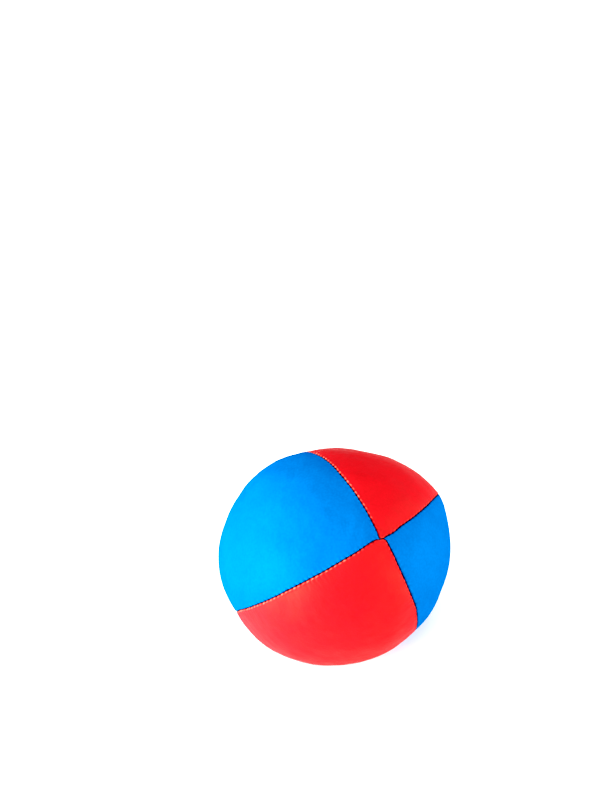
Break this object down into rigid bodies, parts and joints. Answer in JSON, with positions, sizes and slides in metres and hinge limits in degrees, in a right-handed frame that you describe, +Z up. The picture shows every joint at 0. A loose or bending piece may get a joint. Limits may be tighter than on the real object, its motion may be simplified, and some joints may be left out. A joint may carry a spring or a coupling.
{
  "type": "juggling ball",
  "caption": "Soft juggling ball of lune-shaped leatherette panels in alternating blue and red, sewn pole to pole, filled with millet and resting on a small flat patch.",
  "frame": {"origin": "centre of the flat patch that the ball rests on, on the bottom red panel", "axes": "+Z up from the surface it rests on; -Y towards the viewer, so that the front pole, where the panels' tips meet, leans up and towards -Y and +X"},
  "size_m": [0.0693, 0.0689, 0.062],
  "materials": {
    "blue_leatherette": "soft matte, fine grain",
    "red_leatherette": "soft matte, fine grain",
    "sewing_thread": "twisted polyester, matte",
    "millet": "loose seed, satin"
  },
  "bodies": {
    "root": {"red_panel_top": "red_leatherette", "blue_panel_left": "blue_leatherette", "red_panel_bottom": "red_leatherette", "blue_panel_right": "blue_leatherette", "seam_1_needle_thread": "sewing_thread", "seam_1_bobbin_thread": "sewing_thread", "seam_2_needle_thread": "sewing_thread", "seam_2_bobbin_thread": "sewing_thread", "seam_3_needle_thread": "sewing_thread", "seam_3_bobbin_thread": "sewing_thread", "seam_4_needle_thread": "sewing_thread", "seam_4_bobbin_thread": "sewing_thread", "closing_stitch_thread": "sewing_thread", "front_pole_tack": "sewing_thread", "rear_pole_tack": "sewing_thread", "millet_filling": "millet"}
  },
  "joints": []
}
